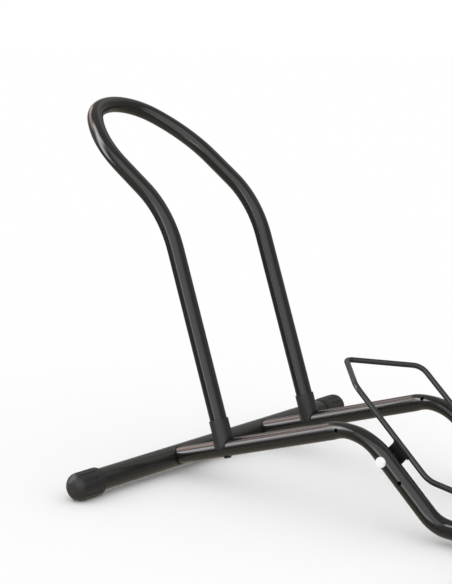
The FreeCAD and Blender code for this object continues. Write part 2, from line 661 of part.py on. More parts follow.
def build_cover(label, side):
    """Domed cover that snaps over the head of the pivot bolt."""
    outside = "Sizes.cover_diameter / 2"
    inside = "Sizes.head_diameter / 2 + Sizes.cover_clearance"
    body = new_body(label)
    revolved = revolve_outline(body, label + "_cup", [
        ((5.4, inside), (0, None)),
        ((7, outside), (0, None)),
        ((7, outside), (4.6, "Sizes.cover_height")),
        ((0, None), (4.6, "Sizes.cover_height")),
        ((0, None), (3.4, "Sizes.cover_height - Sizes.cover_wall")),
        ((5.4, inside), (3.4, "Sizes.cover_height - Sizes.cover_wall")),
    ])
    top = size("cover_height")
    edges = ["Edge%d" % (i + 1) for i, e in enumerate(revolved.Shape.Edges)
             if len(e.Vertexes) == 1 and abs(e.BoundBox.ZMin - top) < 1e-6]
    dome = body.newObject("PartDesign::Fillet", label + "_dome")
    dome.Base = (revolved, edges)
    dome.setExpression("Radius", "(Sizes.cover_height - Sizes.cover_wall) * 0.9")
    place_along(body, aside(PIVOT, side, RAIL_OUTSIDE), CROSSWISE * side)
    doc.recompute()
    return body


# ---------------------------------------------------------------- assembly
nodes = [
    build_cross_tube("rear_cross_tube", REAR_AXIS),
    build_cross_tube("front_cross_tube", FRONT_AXIS),
    add_feature("hoop", hoop_shape()),
    add_feature("wheel_cradle", cradle_shape()),
]
for side_name, side in SIDES:
    nodes.append(add_feature(side_name + "_rail", rail_shape(side)))
    nodes.append(build_sleeve(side_name + "_sleeve", side))
    nodes.append(build_plug(side_name + "_leg_plug", side))
    hoop_seat = aside(FOOT, side) - ALONG_LEG * RAIL_R
    pivot_seat = aside(PIVOT, side, RAIL_OUTSIDE)
    nodes.append(build_bolt(side_name + "_hoop_bolt", "hoop_bolt_length", hoop_seat, ALONG_LEG))
    nodes.append(build_bolt(side_name + "_pivot_bolt", "pivot_bolt_length", pivot_seat, CROSSWISE * -side))
    nodes.append(build_washer(side_name + "_pivot_washer", side))
    nodes.append(build_plate(side_name + "_pivot_plate", side))
    nodes.append(build_nut(side_name + "_pivot_nut", side))
    nodes.append(build_cover(side_name + "_pivot_cover", side))
    nodes.append(build_cap("rear_" + side_name + "_cap", side, REAR_AXIS))
    nodes.append(build_cap("front_" + side_name + "_cap", side, FRONT_AXIS))
    nodes.append(add_feature("rear_" + side_name + "_rail_bead", rail_bead(side, REAR_AXIS, ALONG_RISE)))
    nodes.append(add_feature("front_" + side_name + "_rail_bead", rail_bead(side, FRONT_AXIS, Vector(-1, 0, 0))))
    nodes.append(add_feature(side_name + "_sleeve_bead", sleeve_bead(side)))
    nodes.append(add_feature(side_name + "_plate_bead", plate_bead(side)))

doc.recompute()

# ---------------------------------------------------------------- checks and files
for item in doc.Objects:
    assert not {"Invalid", "Error"} & set(item.State), "%s: %s" % (item.Label, item.State)
os.makedirs("parts", exist_ok=True)
for node in nodes:
    shape = node.Shape
    assert not shape.isNull() and shape.isValid(), node.Label
    print("%-26s solids %d volume %.1f" % (node.Label, len(shape.Solids), shape.Volume))
    shape.exportStep("parts/%s.step" % node.Label)
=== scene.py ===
"""Looks of a free-standing floor rack for one bicycle.

The rack is welded from round steel tube with a gloss black powder coat. A tall
hoop stands in two sleeves on knee-shaped rails, a bent rod cradle tilts on two
bolts between the rails, and grooved plastic caps close the cross tubes.
"""

import logging
import math
from dataclasses import dataclass, field
from enum import Enum

import bmesh
import bpy
from mathutils import Matrix, Vector


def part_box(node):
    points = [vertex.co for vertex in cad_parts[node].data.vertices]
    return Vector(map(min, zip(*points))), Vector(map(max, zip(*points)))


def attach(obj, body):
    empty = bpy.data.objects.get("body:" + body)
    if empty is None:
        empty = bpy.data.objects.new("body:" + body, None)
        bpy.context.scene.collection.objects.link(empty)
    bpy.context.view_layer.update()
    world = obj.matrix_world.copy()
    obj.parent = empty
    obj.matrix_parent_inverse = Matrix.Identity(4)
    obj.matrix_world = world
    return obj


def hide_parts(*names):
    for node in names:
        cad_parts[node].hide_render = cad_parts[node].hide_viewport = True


LOG = logging.getLogger("floor_rack")
STAND_BODY = "stand"

# Fineness and colours that all finishes share. Scales are in cells per metre.
MOTTLE_SCALE = 18.0
MOTTLE_RANGE = (0.3, 0.7)
SPECK_SCALE = 900.0
SPECK_RANGE = (0.58, 0.78)
DUST_SLOPE_RANGE = (0.2, 1.0)
DUST_COLOR = (0.32, 0.31, 0.3)
RUB_SCALE = 160.0
RUB_POINTINESS = (0.56, 0.68)

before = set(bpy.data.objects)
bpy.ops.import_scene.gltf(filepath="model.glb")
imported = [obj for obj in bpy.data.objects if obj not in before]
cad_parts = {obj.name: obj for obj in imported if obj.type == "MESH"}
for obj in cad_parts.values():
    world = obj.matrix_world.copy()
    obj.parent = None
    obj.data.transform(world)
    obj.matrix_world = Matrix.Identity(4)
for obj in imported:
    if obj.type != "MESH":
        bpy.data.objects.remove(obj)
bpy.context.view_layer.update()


class Side(Enum):
    """The two sides of the rack, with their direction along Y."""

    LEFT = -1
    RIGHT = 1

    @property
    def word(self) -> str:
        """Returns the side's word in node names."""
        return self.name.lower()


# ---------------------------------------------------------------- node groups
def new_group(name: str) -> bpy.types.NodeTree:
    """Makes an empty shader node group.

    Args:
        name: The group's name.

    Returns:
        The new node tree.
    """
    return bpy.data.node_groups.new(name, "ShaderNodeTree")


def add_socket(tree: bpy.types.NodeTree, name: str, kind: str, is_input: bool,
               value: float = 0.0) -> None:
    """Adds a named socket to a node group.

    Args:
        tree: The node group.
        name: The socket's name.
        kind: The socket's type, such as NodeSocketFloat.
        is_input: True for an input and False for an output.
        value: Default of a float input.
    """
    direction = "INPUT" if is_input else "OUTPUT"
    socket = tree.interface.new_socket(name=name, in_out=direction, socket_type=kind)
    if is_input and kind == "NodeSocketFloat":
        socket.default_value = value


def set_range(node: bpy.types.Node, start: float, end: float) -> None:
    """Sets the range that a Map Range node reads from.

    Args:
        node: The Map Range node.
        start: Lower end of the range.
        end: Upper end of the range.
    """
    node.inputs["From Min"].default_value = start
    node.inputs["From Max"].default_value = end


@dataclass(frozen=True)
class SharedGroups:
    """Node groups that several finishes use."""

    grain: bpy.types.NodeTree
    dust: bpy.types.NodeTree
    wear: bpy.types.NodeTree

    @classmethod
    def build(cls) -> "SharedGroups":
        """Returns the groups, each built once."""
        return cls(grain=cls._grain(), dust=cls._dust(), wear=cls._wear())

    @staticmethod
    def _grain() -> bpy.types.NodeTree:
        """Builds the group that puts out a fine surface height and a slow mottle.

        Returns:
            The group.
        """
        tree = new_group("surface_grain")
        add_socket(tree, "Scale", "NodeSocketFloat", True, 400.0)
        add_socket(tree, "Height", "NodeSocketFloat", False)
        add_socket(tree, "Mottle", "NodeSocketFloat", False)
        inputs = tree.nodes.new("NodeGroupInput")
        outputs = tree.nodes.new("NodeGroupOutput")
        coords = tree.nodes.new("ShaderNodeTexCoord")
        fine = tree.nodes.new("ShaderNodeTexNoise")
        fine.inputs["Detail"].default_value = 2.0
        fine.inputs["Roughness"].default_value = 0.4
        slow = tree.nodes.new("ShaderNodeTexNoise")
        slow.inputs["Scale"].default_value = MOTTLE_SCALE
        slow.inputs["Detail"].default_value = 4.0
        tree.links.new(coords.outputs["Object"], fine.inputs["Vector"])
        tree.links.new(coords.outputs["Object"], slow.inputs["Vector"])
        tree.links.new(inputs.outputs["Scale"], fine.inputs["Scale"])
        tree.links.new(fine.outputs["Fac"], outputs.inputs["Height"])
        tree.links.new(slow.outputs["Fac"], outputs.inputs["Mottle"])
        return tree

    @staticmethod
    def _dust() -> bpy.types.NodeTree:
        """Builds the group that masks faint dust on faces that look up.

        Returns:
            The group.
        """
        tree = new_group("settled_dust")
        add_socket(tree, "Amount", "NodeSocketFloat", True, 0.1)
        add_socket(tree, "Mask", "NodeSocketFloat", False)
        inputs = tree.nodes.new("NodeGroupInput")
        outputs = tree.nodes.new("NodeGroupOutput")
        geometry = tree.nodes.new("ShaderNodeNewGeometry")
        split = tree.nodes.new("ShaderNodeSeparateXYZ")
        coords = tree.nodes.new("ShaderNodeTexCoord")
        specks = tree.nodes.new("ShaderNodeTexNoise")
        specks.inputs["Scale"].default_value = SPECK_SCALE
        specks.inputs["Detail"].default_value = 3.0
        ramp = tree.nodes.new("ShaderNodeMapRange")
        set_range(ramp, *SPECK_RANGE)
        upward = tree.nodes.new("ShaderNodeMapRange")
        set_range(upward, *DUST_SLOPE_RANGE)
        both = tree.nodes.new("ShaderNodeMath")
        both.operation = "MULTIPLY"
        scaled = tree.nodes.new("ShaderNodeMath")
        scaled.operation = "MULTIPLY"
        tree.links.new(geometry.outputs["Normal"], split.inputs["Vector"])
        tree.links.new(split.outputs["Z"], upward.inputs["Value"])
        tree.links.new(coords.outputs["Object"], specks.inputs["Vector"])
        tree.links.new(specks.outputs["Fac"], ramp.inputs["Value"])
        tree.links.new(upward.outputs["Result"], both.inputs[0])
        tree.links.new(ramp.outputs["Result"], both.inputs[1])
        tree.links.new(both.outputs["Value"], scaled.inputs[0])
        tree.links.new(inputs.outputs["Amount"], scaled.inputs[1])
        tree.links.new(scaled.outputs["Value"], outputs.inputs["Mask"])
        return tree

    @staticmethod
    def _wear() -> bpy.types.NodeTree:
        """Builds the group that masks rubbed edges, broken up by noise.

        Returns:
            The group.
        """
        tree = new_group("rubbed_edges")
        add_socket(tree, "Amount", "NodeSocketFloat", True, 0.3)
        add_socket(tree, "Mask", "NodeSocketFloat", False)
        inputs = tree.nodes.new("NodeGroupInput")
        outputs = tree.nodes.new("NodeGroupOutput")
        geometry = tree.nodes.new("ShaderNodeNewGeometry")
        edge = tree.nodes.new("ShaderNodeMapRange")
        set_range(edge, *RUB_POINTINESS)
        coords = tree.nodes.new("ShaderNodeTexCoord")
        noise = tree.nodes.new("ShaderNodeTexNoise")
        noise.inputs["Scale"].default_value = RUB_SCALE
        noise.inputs["Detail"].default_value = 5.0
        both = tree.nodes.new("ShaderNodeMath")
        both.operation = "MULTIPLY"
        scaled = tree.nodes.new("ShaderNodeMath")
        scaled.operation = "MULTIPLY"
        tree.links.new(geometry.outputs["Pointiness"], edge.inputs["Value"])
        tree.links.new(coords.outputs["Object"], noise.inputs["Vector"])
        tree.links.new(edge.outputs["Result"], both.inputs[0])
        tree.links.new(noise.outputs["Fac"], both.inputs[1])
        tree.links.new(both.outputs["Value"], scaled.inputs[0])
        tree.links.new(inputs.outputs["Amount"], scaled.inputs[1])
        tree.links.new(scaled.outputs["Value"], outputs.inputs["Mask"])
        return tree


# ---------------------------------------------------------------- finishes
@dataclass(frozen=True)
class Finish:
    """A coated, moulded or plated surface with grain, mottle, dust and rubbed edges.

    Colours are linear. Roughness runs from rough_low to rough_high with the mottle. The grain's
    scale is in cells per metre and its height in metres.
    """

    name: str
    color: tuple[float, float, float]
    mottle_color: tuple[float, float, float]
    rough_low: float
    rough_high: float
    grain_scale: float
    grain_height: float
    metallic: float = 0.0
    specular: float = 0.5
    dust_amount: float = 0.06
    wear_amount: float = 0.0
    wear_color: tuple[float, float, float] = (0.2, 0.2, 0.2)

    def build(self, groups: SharedGroups) -> bpy.types.Material:
        """Builds the material.

        Args:
            groups: The shared node groups.

        Returns:
            The finished material.
        """
        material = bpy.data.materials.new(self.name)
        material.use_nodes = True
        tree = material.node_tree
        shader = tree.nodes["Principled BSDF"]
        shader.inputs["Metallic"].default_value = self.metallic
        shader.inputs["Specular IOR Level"].default_value = self.specular
        grain = self._group(tree, groups.grain, "Scale", self.grain_scale)
        dust = self._group(tree, groups.dust, "Amount", self.dust_amount)
        wear = self._group(tree, groups.wear, "Amount", self.wear_amount)
        base = self._mix(tree, self.color, self.mottle_color, grain.outputs["Mottle"])
        worn = self._mix(tree, base, self.wear_color, wear.outputs["Mask"])
        dusty = self._mix(tree, worn, DUST_COLOR, dust.outputs["Mask"])
        tree.links.new(dusty, shader.inputs["Base Color"])
        rough = tree.nodes.new("ShaderNodeMapRange")
        set_range(rough, *MOTTLE_RANGE)
        rough.inputs["To Min"].default_value = self.rough_low
        rough.inputs["To Max"].default_value = self.rough_high
        tree.links.new(grain.outputs["Mottle"], rough.inputs["Value"])
        tree.links.new(rough.outputs["Result"], shader.inputs["Roughness"])
        bump = tree.nodes.new("ShaderNodeBump")
        bump.inputs["Strength"].default_value = 1.0
        bump.inputs["Distance"].default_value = self.grain_height
        tree.links.new(grain.outputs["Height"], bump.inputs["Height"])
        tree.links.new(bump.outputs["Normal"], shader.inputs["Normal"])
        return material

    @staticmethod
    def _group(tree: bpy.types.NodeTree, group: bpy.types.NodeTree, name: str,
               value: float) -> bpy.types.Node:
        """Places a shared group with one value set.

        Args:
            tree: The material's node tree.
            group: The shared group.
            name: Name of the group's input.
            value: The input's value.

        Returns:
            The group's node.
        """
        node = tree.nodes.new("ShaderNodeGroup")
        node.node_tree = group
        node.inputs[name].default_value = value
        return node

    @staticmethod
    def _mix(tree: bpy.types.NodeTree, first: object, second: object,
             mask: bpy.types.NodeSocket) -> bpy.types.NodeSocket:
        """Mixes two colours by a mask.

        Args:
            tree: The material's node tree.
            first: Colour where the mask is zero, a socket or plain numbers.
            second: Colour where the mask is one, a socket or plain numbers.
            mask: The mask's socket.

        Returns:
            The socket of the mixed colour.
        """
        node = tree.nodes.new("ShaderNodeMix")
        node.data_type = "RGBA"
        for name, source in (("A_Color", first), ("B_Color", second)):
            socket = next(item for item in node.inputs if item.identifier == name)
            if isinstance(source, tuple):
                socket.default_value = (*source, 1.0)
            else:
                tree.links.new(source, socket)
        tree.links.new(mask, node.inputs["Factor"])
        return next(item for item in node.outputs if item.identifier == "Result_Color")


class FinishName(Enum):
    """The rack's finishes."""

    GLOSS_COAT = Finish(
        "gloss_powder_coat", (0.011, 0.011, 0.0105), (0.015, 0.0148, 0.014),
        rough_low=0.11, rough_high=0.16, grain_scale=260.0, grain_height=0.000008, dust_amount=0.03)
    # A lighter copy of the gloss coat for the cross tubes: its raised colour is painted light, standing in
    # for the light the tubes catch.
    TUBE_COAT_PAINTED_LIGHTER = Finish(
        "cross_tube_powder_coat", (0.015, 0.0148, 0.0142), (0.019, 0.0186, 0.0175),
        rough_low=0.15, rough_high=0.2, grain_scale=260.0, grain_height=0.000012, dust_amount=0.05)
    SLEEVE_COAT = Finish(
        "sleeve_powder_coat", (0.012, 0.012, 0.013), (0.017, 0.017, 0.018),
        rough_low=0.34, rough_high=0.42, grain_scale=620.0, grain_height=0.00008)
    ROD_COAT = Finish(
        "rod_powder_coat", (0.015, 0.015, 0.016), (0.021, 0.021, 0.022),
        rough_low=0.2, rough_high=0.28, grain_scale=700.0, grain_height=0.00004)
    PLATE_COAT = Finish(
        "plate_powder_coat", (0.004, 0.004, 0.004), (0.006, 0.006, 0.006),
        rough_low=0.5, rough_high=0.6, grain_scale=700.0, grain_height=0.00008, specular=0.3)
    CAP_PLASTIC = Finish(
        "cap_plastic", (0.018, 0.018, 0.018), (0.027, 0.026, 0.026),
        rough_low=0.38, rough_high=0.5, grain_scale=1500.0, grain_height=0.0001,
        specular=0.4, dust_amount=0.12)
    COVER_PLASTIC = Finish(
        "cover_plastic", (0.94, 0.94, 0.935), (0.97, 0.97, 0.965),
        rough_low=0.35, rough_high=0.45, grain_scale=900.0, grain_height=0.00003, dust_amount=0.02)
    WASHER_PLASTIC = Finish(
        "washer_plastic", (0.02, 0.02, 0.02), (0.03, 0.03, 0.03),
        rough_low=0.45, rough_high=0.55, grain_scale=900.0, grain_height=0.00004)
    FASTENER = Finish(
        "black_oxide_steel", (0.03, 0.03, 0.032), (0.05, 0.05, 0.052),
        rough_low=0.3, rough_high=0.42, grain_scale=900.0, grain_height=0.00003,
        metallic=0.8, wear_amount=0.4)
    PLUG_STEEL = Finish(
        "zinc_plated_steel", (0.5, 0.5, 0.51), (0.6, 0.6, 0.6),
        rough_low=0.3, rough_high=0.4, grain_scale=700.0, grain_height=0.00003, metallic=1.0)


class Finishes:
    """Builds each finish once and assigns it to nodes and pieces."""

    def __init__(self) -> None:
        """Builds the shared groups and all the materials."""
        groups = SharedGroups.build()
        self.materials = {name: name.value.build(groups) for name in FinishName}

    def dress(self, nodes: list[str], name: FinishName) -> None:
        """Gives CAD nodes one finish.

        Args:
            nodes: Names of the nodes.
            name: The finish.
        """
        for node in nodes:
            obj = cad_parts[node]
            for slot in obj.material_slots:
                slot.material = self.materials[name]
            LOG.info("dressed %s with %s", node, name.value.name)


# ---------------------------------------------------------------- sub-assemblies
@dataclass
class Base:
    """Cross tubes, rails and their weld beads."""

    tubes: tuple[str, ...] = ("rear_cross_tube", "front_cross_tube")

    def dress(self, finishes: Finishes) -> None:
        """Dresses the rails in powder coat, the cross tubes in a copy of it painted lighter as painted light,
        and the weld beads in a dark one.

        Args:
            finishes: The rack's finishes.
        """
        # The cross tubes get the lighter copy of the coat, which is painted light.
        finishes.dress(list(self.tubes), FinishName.TUBE_COAT_PAINTED_LIGHTER)
        for side in Side:
            finishes.dress([f"{side.word}_rail"], FinishName.GLOSS_COAT)
            beads = [f"{end}_{side.word}_rail_bead" for end in ("rear", "front")]
            finishes.dress(beads, FinishName.PLATE_COAT)


@dataclass
class Hoop:
    """The wheel hoop with its sleeves, foot plugs and bolts."""

    node: str = "hoop"

    def dress(self, finishes: Finishes) -> None:
        """Dresses the hoop and what holds it.

        Args:
            finishes: The rack's finishes.
        """
        finishes.dress([self.node], FinishName.GLOSS_COAT)
        for side in Side:
            finishes.dress([f"{side.word}_sleeve"], FinishName.SLEEVE_COAT)
            finishes.dress([f"{side.word}_sleeve_bead"], FinishName.PLATE_COAT)
            finishes.dress([f"{side.word}_leg_plug"], FinishName.PLUG_STEEL)
            finishes.dress([f"{side.word}_hoop_bolt"], FinishName.FASTENER)


@dataclass
class Cradle:
    """The tilting wheel cradle with its plates, bolts, nuts, washers and covers."""

    node: str = "wheel_cradle"

    def dress(self, finishes: Finishes) -> None:
        """Dresses the cradle and its pivots.

        Args:
            finishes: The rack's finishes.
        """
        finishes.dress([self.node], FinishName.ROD_COAT)
        for side in Side:
            finishes.dress([f"{side.word}_pivot_plate", f"{side.word}_plate_bead"], FinishName.PLATE_COAT)
            finishes.dress([f"{side.word}_pivot_bolt", f"{side.word}_pivot_nut"], FinishName.FASTENER)
            finishes.dress([f"{side.word}_pivot_washer"], FinishName.WASHER_PLASTIC)
            finishes.dress([f"{side.word}_pivot_cover"], FinishName.COVER_PLASTIC)


@dataclass
class EndCaps:
    """The four moulded end caps, each with a domed end, a stepped rim and a ring of grooves.

    Each cap takes its place, diameter and length from the frame. Sizes are in metres and turns in
    degrees. The face rings are shares of the flat face's radius, and the grooves' half widths count
    faces of the spun wall.
    """

    ends: tuple[str, ...] = ("rear", "front")
    dome_radius: float = 0.012
    dome_steps: int = 9
    rim_width: float = 0.0022
    rim_step: float = 0.0013
    edge_round: float = 0.0004
    bore_radius: float = 0.01445
    bore_lift: float = 0.0005
    bore_depth: float = 0.006
    face_rings: tuple[float, ...] = (0.55, 0.9)
    merge_distance: float = 1e-6
    segments: int = 120
    groove_count: int = 12
    groove_turn: float = -6.0
    groove_start: float = 0.0100
    groove_end: float = 0.0362
    groove_depth: float = 0.0011
    groove_slope: float = 0.00035
    groove_half_faces: float = 1.6
    groove_tip_half_faces: float = 0.6
    outside_margin: float = 0.0005
    ring_spacing: float = 0.0009

    def dress(self, finishes: Finishes) -> None:
        """Builds the caps and dresses them in moulded plastic.

        Args:
            finishes: The rack's finishes.
        """
        for end in self.ends:
            for side in Side:
                node = f"{end}_{side.word}_cap"
                finishes.dress([node], FinishName.CAP_PLASTIC)
                piece = self._piece(node, side)
                piece.data.materials.append(finishes.materials[FinishName.CAP_PLASTIC])
                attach(piece, STAND_BODY)
                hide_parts(node)
                LOG.info("built %s", piece.name)

    def _piece(self, node: str, side: Side) -> bpy.types.Object:
        """Builds one cap in its place.

        Args:
            node: The CAD cap that the piece stands for.
            side: The side it closes.

        Returns:
            The finished object.
        """
        low, high = (Vector(corner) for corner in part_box(node))
        radius = (high.x - low.x) / 2
        centre = Vector(((low.x + high.x) / 2, 0.0, high.z - radius))
        tip = high.y if side is Side.RIGHT else low.y
        shell = bmesh.new()
        self._spin_wall(shell, radius, high.y - low.y)
        self._press_grooves(shell)
        bmesh.ops.rotate(shell, verts=shell.verts, cent=(0, 0, 0),
                         matrix=Matrix.Rotation(math.radians(self.groove_turn), 3, "Y"))
        # The shell has its closed end at y = 0 and its wall along +Y, as the left caps have.
        if side is Side.RIGHT:
            bmesh.ops.scale(shell, verts=shell.verts, vec=(1.0, -1.0, 1.0))
        bmesh.ops.translate(shell, verts=shell.verts, vec=(centre.x, tip, centre.z))
        # The sole is flat at the height of the floor.
        for vert in shell.verts:
            vert.co.z = max(vert.co.z, low.z)
        bmesh.ops.recalc_face_normals(shell, faces=shell.faces)
        mesh = bpy.data.meshes.new(f"{node}_moulding")
        shell.to_mesh(mesh)
        shell.free()
        mesh.polygons.foreach_set("use_smooth", [True] * len(mesh.polygons))
        piece = bpy.data.objects.new(f"{node}_moulding", mesh)
        bpy.context.collection.objects.link(piece)
        rounding = piece.modifiers.new("rounding", "SUBSURF")
        rounding.levels = rounding.render_levels = 1
        return piece

    def _outline(self, radius: float, length: float) -> list[tuple[float, float]]:
        """Draws the wall's outline.

        Args:
            radius: The cap's outer radius.
            length: The cap's length.

        Returns:
            Distances from the closed end with their radii.
        """
        flat = radius - self.dome_radius
        points = [(0.0, 0.0)] + [(0.0, share * flat) for share in self.face_rings]
        for step in range(self.dome_steps + 1):
            turn = math.radians(90.0 * step / self.dome_steps)
            points.append((self.dome_radius * (1 - math.cos(turn)), flat + self.dome_radius * math.sin(turn)))
        step_at = length - self.rim_width
        barrel = step_at - self.edge_round - self.dome_radius
        rings = round(barrel / self.ring_spacing)
        points += [(self.dome_radius + barrel * ring / rings, radius) for ring in range(1, rings + 1)]
        rim = radius - self.rim_step
        points += [(step_at, radius - self.edge_round), (step_at, rim + self.edge_round), (step_at, rim),
                   (step_at + self.edge_round, rim), (length - self.edge_round, rim),
                   (length, rim - self.edge_round), (length, self.bore_radius + self.edge_round),
                   (length, self.bore_radius), (length - self.edge_round, self.bore_radius),
                   (length - self.bore_depth, self.bore_radius)]
        return points

    def _spin_wall(self, shell: bmesh.types.BMesh, radius: float, length: float) -> None:
        """Spins the outline round the Y axis and lifts the bore to the tube's axis.

        Args:
            shell: The mesh to fill.
            radius: The cap's outer radius.
            length: The cap's length.
        """
        verts = [shell.verts.new((0.0, along, out)) for along, out in self._outline(radius, length)]
        edges = [shell.edges.new(pair) for pair in zip(verts, verts[1:])]
        bmesh.ops.spin(shell, geom=verts + edges, cent=(0, 0, 0), axis=(0, 1, 0),
                       angle=2 * math.pi, steps=self.segments, use_merge=True)
        bmesh.ops.remove_doubles(shell, verts=shell.verts, dist=self.merge_distance)
        bmesh.ops.recalc_face_normals(shell, faces=shell.faces)
        bore = [vert for vert in shell.verts
                if vert.co.xz.length < self.bore_radius + self.merge_distance and vert.co.y > length / 2]
        bmesh.ops.translate(shell, verts=bore, vec=(0, 0, self.bore_lift))

    def _press_grooves(self, shell: bmesh.types.BMesh) -> None:
        """Presses round-ended grooves into the wall.

        Args:
            shell: The spun wall, round the Y axis.
        """
        pitch = 2 * math.pi / self.groove_count
        step = 2 * math.pi / self.segments
        beds: dict[int, list[bmesh.types.BMFace]] = {}
        for face in shell.faces:
            middle = face.calc_center_median()
            outside = middle.xz.length > self.bore_radius + self.outside_margin
            if not (outside and self.groove_start < middle.y < self.groove_end):
                continue
            angle = math.atan2(middle.x, middle.z) / pitch
            number = round(angle)
            offset = abs(angle - number) * pitch
            to_tip = min(middle.y - self.groove_start, self.groove_end - middle.y)
            reach = self.groove_tip_half_faces if to_tip < self.ring_spacing else self.groove_half_faces
            if offset < reach * step:
                beds.setdefault(number % self.groove_count, []).append(face)
        for bed in beds.values():
            bmesh.ops.inset_region(shell, faces=bed, thickness=self.groove_slope, depth=-self.groove_depth,
                                   use_even_offset=True)


# ---------------------------------------------------------------- studio
@dataclass(frozen=True)
class Panel:
    """A soft rectangular light panel of the studio, given by its direction from the rack.

    All angles are in degrees. The light fades out over the softness outside the half sizes, and
    over the far softness on the side of the larger azimuths where that is given.
    """

    azimuth: float
    elevation: float
    half_width: float
    half_height: float
    softness: float
    strength: float
    tint: tuple[float, float, float] = (1.0, 1.0, 1.0)
    far_softness: float | None = None

    def axes(self) -> tuple[Vector, Vector, Vector]:
        """Works out where the panel faces.

        Returns:
            The unit vectors towards the panel, along its width and along its height.
        """
        turn = (Matrix.Rotation(math.radians(self.azimuth), 3, "Z")
                @ Matrix.Rotation(math.radians(-self.elevation), 3, "Y"))
        return turn.col[0].copy(), turn.col[1].copy(), turn.col[2].copy()


